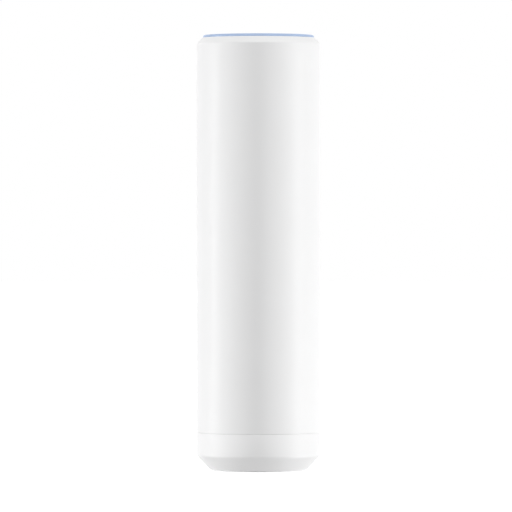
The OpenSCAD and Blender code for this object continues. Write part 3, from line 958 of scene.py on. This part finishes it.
flex_low, flex_high = box("led_flex")
emitter_low = box("led_emitters")[0]
board_low, board_high = box("main_board")
FLEX_T = 0.3
FLEX_W = 6
FLEX_DROP_Y = 12.05
CONNECTOR_H = 2
flex_top = emitter_low.z + FLEX_T / 2
flex_bottom = flex_low.z + CONNECTOR_H / 2 + FLEX_T / 2
route = eased(
    [
        (flex_high.y, flex_top, 0),
        (FLEX_DROP_Y, flex_top, 0),
        (FLEX_DROP_Y, flex_bottom, 0),
        (board_high.y + CONNECTOR_H - 0.2, flex_bottom, 0),
    ],
    0.8,
    steps=8,
)
strip = ribbon([place.xy for place in route], FLEX_T)
flex = extruded(strip, 0, -FLEX_W / 2, FLEX_W / 2)
piece("light_flex", flex, "unit", "flex_amber", flex_film, "led_flex", sharp=50)
socket = block(
    (flex_low.x, board_high.y, flex_low.z),
    (flex_high.x, board_high.y + CONNECTOR_H, flex_low.z + CONNECTOR_H),
    0.12,
)
mouth = block(
    (-FLEX_W / 2 - 0.1, board_high.y + CONNECTOR_H - 0.7, flex_bottom - 0.25),
    (FLEX_W / 2 + 0.1, board_high.y + CONNECTOR_H + 1, flex_bottom + 0.25),
)
piece("flex_connector", combined(socket, mouth), "unit", "flex_amber", connector_cream, "led_flex")

# ---- Inside: chassis and boards ----

dressed("chassis", inner_white)
dressed("antenna_sleeve", sleeve_black)
dressed("main_board", board_green)
for node in ("board_screws", "heatsink_screws"):
    low, high = box(node)
    screws(node + "_set", node, "unit", (0, -1, 0), high.y - low.y - SCREW_HEAD_H, SMALL_HEAD_R)


def chip(low, high):
    """A flat package on the board's front, with a chamfered rim and a dimple by its first pin."""
    body = block(low, high, 0.15, 1)
    dimple = peg(1, (low.x + 1.2, high.z - 1.2), low.y - 1, low.y + 0.08, 0.4)
    return combined(body, dimple)


def ball_grid(low, high):
    """A processor: a thin carrier with a smaller raised lid."""
    carrier = block((low.x, high.y - 0.5, low.z), high, 0.05, 1)
    inset = Vector((1.4, 0, 1.4))
    top = high - inset
    lid = chip(low + inset, Vector((top.x, high.y - 0.4, top.z)))
    return joined([carrier, lid])


def winged(low, high):
    """A transformer package with a row of bent leads along its lower and upper sides."""
    reach = 0.8
    shells = [chip(low + Vector((0, 0, reach)), high - Vector((0, 0, reach)))]
    count = 8
    for k in range(count):
        x = low.x + (high.x - low.x) * (k + 0.5) / count
        for edge, inner in ((low.z, low.z + reach), (high.z, high.z - reach)):
            middle = (low.y + high.y) / 2
            bend, foot = (edge + inner) / 2, edge + (inner - edge) * 0.15
            path = [(middle, inner), (middle, bend), (high.y - 0.15, bend), (high.y - 0.15, foot)]
            path = eased([(x, y, z) for y, z in path], 0.3, 3)
            shells.append(tube(path, 0.15, 8))
    return joined(shells)


each_solid("processor_package", "processor", "chip_black", chip_black, ball_grid)
each_solid("memory_packages", "memory_chips", "chip_black", chip_black, chip)
each_solid("magnetics_package", "lan_magnetics", "chip_black", chip_black, winged)

SHEET_T = 0.3


def shield(low, high):
    """A stamped can, open to the board, with vent holes in its lid and clip slots in its sides."""
    can = block(low, high, 0.35, 3)
    wall = Vector((SHEET_T, SHEET_T, SHEET_T))
    can = combined(can, block(low + wall, (high.x - SHEET_T, high.y + 1, high.z - SHEET_T)))
    cuts = []
    spacing = 3
    columns = int((high.x - low.x - 4) / spacing)
    rows = int((high.z - low.z - 4) / spacing)
    middle = (low + high) / 2
    for i in range(columns):
        for j in range(rows):
            if (i + j) % 2:
                continue
            x = middle.x + (i - (columns - 1) / 2) * spacing
            z = middle.z + (j - (rows - 1) / 2) * spacing
            cuts.append(peg(1, (x, z), low.y - 1, low.y + 1, 0.5, segments=16))
    for k in range(-1, 2):
        z = middle.z + k * (high.z - low.z) / 3
        cuts.append(block((low.x - 1, high.y - 1.1, z - 1), (high.x + 1, high.y - 0.8, z + 1)))
    return combined(can, joined(cuts))


for node in ("shield_processor", "shield_2g", "shield_5g"):
    each_solid(node + "_can", node, "shield_metal", plated, shield)

FLANGE_T = 1.8
FLANGE_D = 7
CORE_INSET = 0.9
PIN_R = 0.3
low, high = box("poe_transformer")
flanges = []
pins = []
for z in (low.z, high.z - FLANGE_T):
    flanges.append(block((low.x, high.y - FLANGE_D, z), (high.x, high.y, z + FLANGE_T), 0.3, 3))
    for k in range(4):
        x = low.x + (high.x - low.x) * (k + 0.5) / 4
        ends = (high.y - FLANGE_D - 0.9, high.y - 1)
        pins.append(peg(1, (x, z + FLANGE_T / 2), *ends, PIN_R, 0.08, 16))
piece("transformer_flanges", joined(flanges), "unit", "coil_tape", insert_black, "poe_transformer")
piece("transformer_pins", joined(pins), "unit", "coil_tape", tin, "poe_transformer")
layers = []
for step, tuck in ((0.0, 0.0), (0.9, 0.12), (1.6, 0.28)):
    inset = CORE_INSET + tuck
    front, rear = low.y + tuck, high.y - 0.4 - tuck
    corners = round_rect(low.x + inset, front, high.x - inset, rear, 2.2, 8)
    edge = 1.6 - step
    layers.append(extruded(corners, 2, low.z + FLANGE_T + edge, high.z - FLANGE_T - edge))
piece("transformer_winding", joined(layers), "unit", "coil_tape", coil_tape, "poe_transformer")


def can_part(low, high, which):
    """An electrolytic can lying along -Y: its shrink "sleeve", or its bare scored "end"."""
    place = ((low.x + high.x) / 2, high.y, (low.z + high.z) / 2)
    radius = (high.x - low.x) / 2
    length = high.y - low.y
    turn = Matrix.Rotation(math.radians(90), 4, "X")
    if which == "sleeve":
        outline = [(0, 0, 0), (radius, 0, 0.3)]
        outline += [(radius, 1.0, 0.2), (radius - 0.25, 1.3, 0.2), (radius, 1.6, 0.2)]
        outline += [(radius, length - 0.1, 0.35), (radius - 0.55, length - 0.1, 0.05)]
        outline += [(radius - 0.55, length - 0.35, 0), (0, length - 0.35, 0)]
        return moved(turned(*outline, segments=48), place, turn)
    edge, inner = radius - 0.5, length - 0.5
    outline = ((0, inner, 0), (edge, inner, 0), (edge, length, 0.15), (0, length, 0))
    disc = turned(*outline, segments=48)
    for x, y in ((radius * 0.6, 0.08), (0.08, radius * 0.6)):
        disc = combined(disc, span_block((-x, x), (-y, y), (length - 0.08, length + 1)))
    return moved(disc, place, turn)


each_solid("capacitor_sleeves", "capacitors", "capacitor_sleeve", can_sleeve, can_part, "sleeve")
each_solid("capacitor_ends", "capacitors", "capacitor_sleeve", aluminium, can_part, "end")


def choke(low, high):
    """A pressed power inductor with rounded corners and a shallow round recess."""
    body = block(low, high, 0.45, 3)
    middle = (low + high) / 2
    return combined(body, peg(1, middle.xz, low.y - 1, low.y + 0.15, 1.3))


each_solid("power_inductors", "inductors", "ferrite_grey", ferrite, choke)
low, high = box("thermal_pad")
piece("gap_pad", block(low, high, 0.12), "unit", "thermal_pad", pad_paint, "thermal_pad")

# ---- Inside: heatsink ----

FINS = 7
FIN_T = 1.2
FIN_SPAN = 20.4
FIN_END = 6
SINK_PLATE_T = 2.5
ENVELOPE_R = 19.3
low, high = box("heatsink")
sink = block(low, (high.x, low.y + SINK_PLATE_T, high.z), 0.2)
fins = []
for k in range(FINS):
    x = FIN_SPAN * (k / (FINS - 1) - 0.5)
    across = (x - FIN_T / 2, x + FIN_T / 2)
    top = math.sqrt(ENVELOPE_R**2 - (abs(x) + FIN_T / 2) ** 2)
    fins.append(span_block(across, (low.y + 1, top), (low.z + FIN_END, high.z - FIN_END), 0.25))
sink = combined(sink, joined(fins), "UNION")
drills = []
for head, tip in islands("heatsink_screws"):
    middle = (head + tip) / 2
    drills.append(peg(1, middle.xz, low.y - 1, high.y + 1, SHANK_HOLE_R))
piece("heatsink_fins", combined(sink, joined(drills)), "unit", "heatsink_metal", aluminium, "heatsink")

# ---- Inside: network jack and reset switch ----

PORT_W = 11.9
PORT_D = 7
PORT_Y = -0.1
PORT_DEPTH = 14
KEY_W = 6.6
LATCH_W = 3.6
CONTACT_PITCH = 1.02
SHELL_T = 0.5

low, high = box("ethernet_jack")
shell = block(low, high, 0.3)
sides = (low.x + SHELL_T, high.x - SHELL_T), (low.y + SHELL_T, high.y - SHELL_T)
shell = combined(shell, span_block(*sides, (low.z - 1, high.z - SHELL_T)))
across = (low.x - 1, high.x + 1)
for z in (low.z + 5, low.z + 12):
    legs = [span_block(across, (y - 0.15, y + 0.15), (z, z + 4)) for y in (-3.5, -1.5)]
    shell = combined(shell, joined(legs))
    shell = combined(shell, span_block(across, (-3.65, -1.35), (z + 3.7, z + 4)))
piece("jack_shell", shell, "unit", "shield_metal", plated, "ethernet_jack")

wall = Vector((1, 1, 1)) * (SHELL_T + 0.02)
liner = block((*(low + wall).xy, low.z + 0.3), high - wall, 0.15)
port_low, port_high = PORT_Y - PORT_D / 2, PORT_Y + PORT_D / 2
depth = (low.z - 1, low.z + PORT_DEPTH)
openings = (
    (PORT_W, (port_low, port_high)),
    (KEY_W, (port_low - 1.7, PORT_Y)),
    (LATCH_W, (port_low - 3, PORT_Y)),
)
for width, y in openings:
    liner = combined(liner, span_block((-width / 2, width / 2), y, depth))
liner_parts = [liner]
for k in range(-3, 4):
    x = k * CONTACT_PITCH
    y = (port_high - 0.9, port_high + 0.2)
    liner_parts.append(span_block((x - 0.12, x + 0.12), y, (low.z + 1, low.z + 12)))
piece("jack_liner", joined(liner_parts), "unit", "shield_metal", insert_black, "ethernet_jack")
dressed("jack_contacts", gold)
dressed("jack_gasket", dark_rubber)

low, high = box("reset_switch")
SWITCH_BOTTOM = low.z + 0.8
switch = span_block((low.x, high.x), (low.y, high.y - 0.6), (SWITCH_BOTTOM, high.z), 0.15)
piece("reset_switch_body", switch, "unit", "chip_black", chip_black, "reset_switch")
cover = span_block((low.x, high.x), (high.y - 0.7, high.y), (SWITCH_BOTTOM, high.z), 0.2)
stem = peg(2, (RESET_X, RESET_Y), low.z, SWITCH_BOTTOM + 0.5, 1, 0.15)
piece("reset_switch_cover", joined([cover, stem]), "unit", "chip_black", plated, "reset_switch")

# ---- Inside: antennas ----

for node in sorted(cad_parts):
    if node.startswith("antenna_") and node != "antenna_sleeve":
        dressed(node, brass)

COAX_R = 0.57
SOCKET_X = 12
FEED_Z = 116
FEED_AT = math.radians(40)
SLEEVE_R = 20.5
leads = []
plugs = []
cups = []
for low, high in islands("coax_sockets"):
    x, z = ((low + high) / 2).xz
    out = -1 if high.y < board_high.y - 0.5 else 1
    angle = out * math.acos(max(-1, min(1, x * math.cos(FEED_AT) / SOCKET_X)))
    face = board_low.y if out < 0 else board_high.y
    path = []
    for radius in (SLEEVE_R - 0.05, SLEEVE_R - 2.8):
        path.append((radius * math.cos(angle), radius * math.sin(angle), FEED_Z))
    y = face + out * (1.3 + COAX_R)
    path += [(x, y, z - 1.8), (x, y, z)]
    leads.append(tube(eased(path, 1.6), COAX_R))
    for group, radius, near, far in ((plugs, 1.4, 1.3, 2.35), (cups, 1.3, 0, 0.9), (cups, 0.9, 0.8, 1.4)):
        ends = sorted((face + out * near, face + out * far))
        group.append(peg(1, (x, z), *ends, radius, 0.15))
piece("coax_cables", joined(leads), "unit", "coax_black", coax_jacket, "coax_leads")
piece("coax_plugs", joined(plugs), "unit", "coax_black", gold, "coax_leads")
piece("coax_cups", joined(cups), "unit", "contact_gold", gold, "coax_sockets")

# ---- Inside: small components ----

FRONT_NODES = (
    "processor", "memory_chips", "shield_processor", "shield_2g", "shield_5g", "poe_transformer",
    "lan_magnetics", "capacitors", "inductors", "ethernet_jack",
)  # fmt: skip
REAR_NODES = ("heatsink", "reset_switch", "led_flex")


def taken(nodes, face):
    """The rectangles (x0, z0, x1, z1) of a board face that large parts already cover."""
    covers = [(solid, 0, 0) for node in nodes for solid in solids(node)]
    for solid in solids("coax_sockets"):
        if (solid[1].y / MM < board_high.y - 0.5) == (face < 0):
            covers.append((solid, 1, 5))
    covers += [(solid, 1, 1) for solid in solids("board_screws")]
    spots = []
    for (low, high), margin, below in covers:
        x0, z0, x1, z1 = (c / MM for c in (*low.xz, *high.xz))
        spots.append((x0 - margin, z0 - below, x1 + margin, z1 + margin))
    return spots


def apart(spot, others, gap=0.5):
    """Whether a rectangle keeps that gap to all the others."""
    for other in others:
        beside = spot[0] >= other[2] + gap or spot[2] <= other[0] - gap
        above = spot[1] >= other[3] + gap or spot[3] <= other[1] - gap
        if not (beside or above):
            return False
    return True


# length, width and height of resistors, capacitors and two chips, the common ones twice
SMALL_SIZES = (
    (1.0, 0.5, 0.45), (1.0, 0.5, 0.45), (1.6, 0.8, 0.7), (1.6, 0.8, 0.7), (3.0, 3.0, 0.9), (2.9, 1.6, 1.1),
)  # fmt: skip
TRIES = 6
END_W = 0.25
random.seed(11)
ceramics = []
blacks = []
tins = []
for face, nodes, half_w, count in ((-1, FRONT_NODES, 13.2, 110), (1, REAR_NODES, 15.6, 150)):
    spots = taken(nodes, face)
    surface = board_low.y if face < 0 else board_high.y
    for _ in range(count * TRIES):
        if not count:
            break
        long, short, tall = random.choice(SMALL_SIZES)
        if random.random() < 0.5:
            long, short = short, long
        x = random.uniform(-half_w + long, half_w - long)
        z = random.uniform(board_low.z + 2, board_high.z - 2)
        x, z = round(x * 2) / 2, round(z * 2) / 2
        x0, x1, z0, z1 = x - long / 2, x + long / 2, z - short / 2, z + short / 2
        if not apart((x0, z0, x1, z1), spots):
            continue
        spots.append((x0, z0, x1, z1))
        count -= 1
        y = sorted((surface, surface + face * tall))
        if min(long, short) > 1.5:
            blacks.append(span_block((x0 + 0.3, x1 - 0.3), y, (z0 + 0.3, z1 - 0.3), 0.1))
            foot = sorted((surface, surface + face * 0.25))
            for k in range(4):
                leg = x - 0.75 + 0.5 * k
                tins.append(span_block((leg - 0.11, leg + 0.11), foot, (z0, z1)))
            continue
        group = ceramics if tall > 0.5 else blacks
        if long > short:
            group.append(span_block((x0 + 0.2, x1 - 0.2), y, (z0, z1)))
            ends = (((x0, x0 + END_W), (z0, z1)), ((x1 - END_W, x1), (z0, z1)))
        else:
            group.append(span_block((x0, x1), y, (z0 + 0.2, z1 - 0.2)))
            ends = (((x0, x1), (z0, z0 + END_W)), ((x0, x1), (z1 - END_W, z1)))
        for across, along in ends:
            tins.append(span_block(across, y, along, 0.04))
piece("board_ceramics", joined(ceramics), "unit", "ferrite_grey", ceramic)
piece("board_small_chips", joined(blacks), "unit", "chip_black", chip_black)
piece("board_solder_ends", joined(tins), "unit", "screw_steel", tin)

# ---- Lights, floor and background ----

SOFTBOX_DISTANCE = 1.2
SOFTBOX_TALL = 0.9
NARROW = 0.18
WIDE = 0.42
KEY_LIGHT = 4.6
BACK_LIGHT = 1.05
LOW_LIGHT = 0.95
FLOOR_WHITE = 0.93
AIM = Vector((0, 0, 0.08))


def softbox(bearing, elevation, wide, power):
    """A softbox in a direction seen from the object. Bearing 0 is towards the camera."""
    data = bpy.data.lights.new("softbox", "AREA")
    data.shape = "RECTANGLE"
    data.size, data.size_y, data.energy = wide, SOFTBOX_TALL, power
    lamp = placed("softbox", data)
    side, up = math.radians(bearing), math.radians(elevation)
    way = Vector((math.sin(side) * math.cos(up), -math.cos(side) * math.cos(up), math.sin(up)))
    lamp.location = AIM + way * SOFTBOX_DISTANCE
    lamp.rotation_euler = (-way).to_track_quat("-Z", "Y").to_euler()
    lamp.visible_camera = False


# narrow boxes beside the object at three heights, and weak wide ones further forward
softbox(-90, 0, NARROW, 4.5)
softbox(-90, -40, NARROW, 4.1)
softbox(80, 0, NARROW, 3.3)
softbox(90, -40, NARROW, 6.2)
softbox(90, 40, NARROW, 1.0)
softbox(-60, 0, WIDE, 1.7)
softbox(60, 0, WIDE, 1.4)

# the surroundings light the object from high in front, softly from behind and from low at its
# sides, and look white to the camera
world = bpy.data.worlds.new("studio")
scene.world = world
world.use_nodes = True
sky = Nodes(world.node_tree)
x, y, z = sky.node("SeparateXYZ", {0: sky.node("TexCoord").outputs["Generated"]}).outputs
front = sky.math("MAXIMUM", sky.math("MULTIPLY", y, -1), 0)
key = sky.math("MULTIPLY", sky.math("MULTIPLY", front, sky.math("MAXIMUM", z, 0)), KEY_LIGHT)
back = sky.math("MULTIPLY", sky.math("MAXIMUM", y, 0), BACK_LIGHT)
down = sky.math("MAXIMUM", sky.math("MULTIPLY", z, -1), 0)
below = sky.math("MULTIPLY", sky.math("MULTIPLY", down, sky.math("ABSOLUTE", x)), LOW_LIGHT)
strength = sky.math("ADD", sky.math("ADD", key, back), below)
fill = sky.node("Background", {"Color": (1, 1, 1, 1), "Strength": strength})
backdrop = sky.node("Background", {"Color": (1, 1, 1, 1)})
seen = sky.node("LightPath").outputs["Is Camera Ray"]
chosen = sky.node("MixShader", {0: seen, 1: fill.outputs[0], 2: backdrop.outputs[0]})
sky.node("OutputWorld", {"Surface": chosen.outputs[0]})

# the floor shows the camera a contact shadow and nothing else, and is clear from below
floor = placed("floor", bpy.data.meshes.new("floor"))
disc = bmesh.new()
bmesh.ops.create_circle(disc, cap_ends=True, radius=6, segments=64)
disc.to_mesh(floor.data)
disc.free()
ground = Paint("pale_floor", (0.3, 0.3, 0.3), 0.9, Specular_IOR_Level=0.0)
ground.set("Emission Color", (1, 1, 1, 1))
ground.set("Emission Strength", FLOOR_WHITE)
one_sided = ground.node(
    "MixShader",
    {
        0: ground.node("NewGeometry").outputs["Backfacing"],
        1: ground.shader.outputs[0],
        2: ground.node("BsdfTransparent").outputs[0],
    },
)
ground.tree.links.new(one_sided.outputs[0], ground.output.inputs["Surface"])
floor.data.materials.append(ground.material)
floor.visible_diffuse = False
floor.visible_glossy = False
floor.visible_shadow = False
floor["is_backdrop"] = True

scene.view_settings.view_transform = "Standard"

# ---- Hand over ----

low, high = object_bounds()
